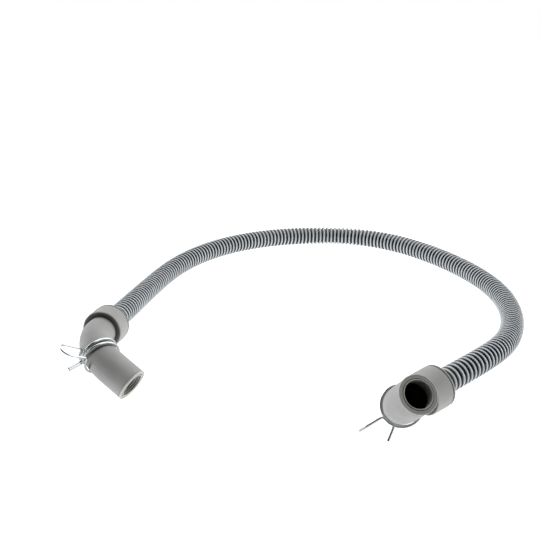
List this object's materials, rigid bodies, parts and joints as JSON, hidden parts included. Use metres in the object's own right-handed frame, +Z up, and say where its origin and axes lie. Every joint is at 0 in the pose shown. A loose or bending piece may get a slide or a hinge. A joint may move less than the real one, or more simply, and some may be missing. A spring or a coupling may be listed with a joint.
{
  "type": "washing machine filter hose",
  "caption": "Corrugated drain hose with a moulded rubber elbow cuff on each end and a spring clamp of doubled wire round each cuff, for a washing machine's filter and pump.",
  "frame": {"origin": "on the surface the hose lies on, under the middle of the box round the two cuffs and their clamps", "axes": "+Z up; +X from the left cuff towards the right one; +Y from the cuffs towards the far bow of the hose"},
  "size_m": [0.4735, 0.5509, 0.0724],
  "materials": {
    "hose_plastic": "satin blue-grey moulded plastic with fine corrugations",
    "cuff_rubber": "matt mid-grey moulded rubber",
    "clamp_wire": "bright zinc-plated spring wire"
  },
  "bodies": {
    "root": {"corrugated_hose": "hose_plastic", "left_elbow_cuff": "cuff_rubber", "right_elbow_cuff": "cuff_rubber", "left_wire_clamp": "clamp_wire", "right_wire_clamp": "clamp_wire"}
  },
  "joints": []
}
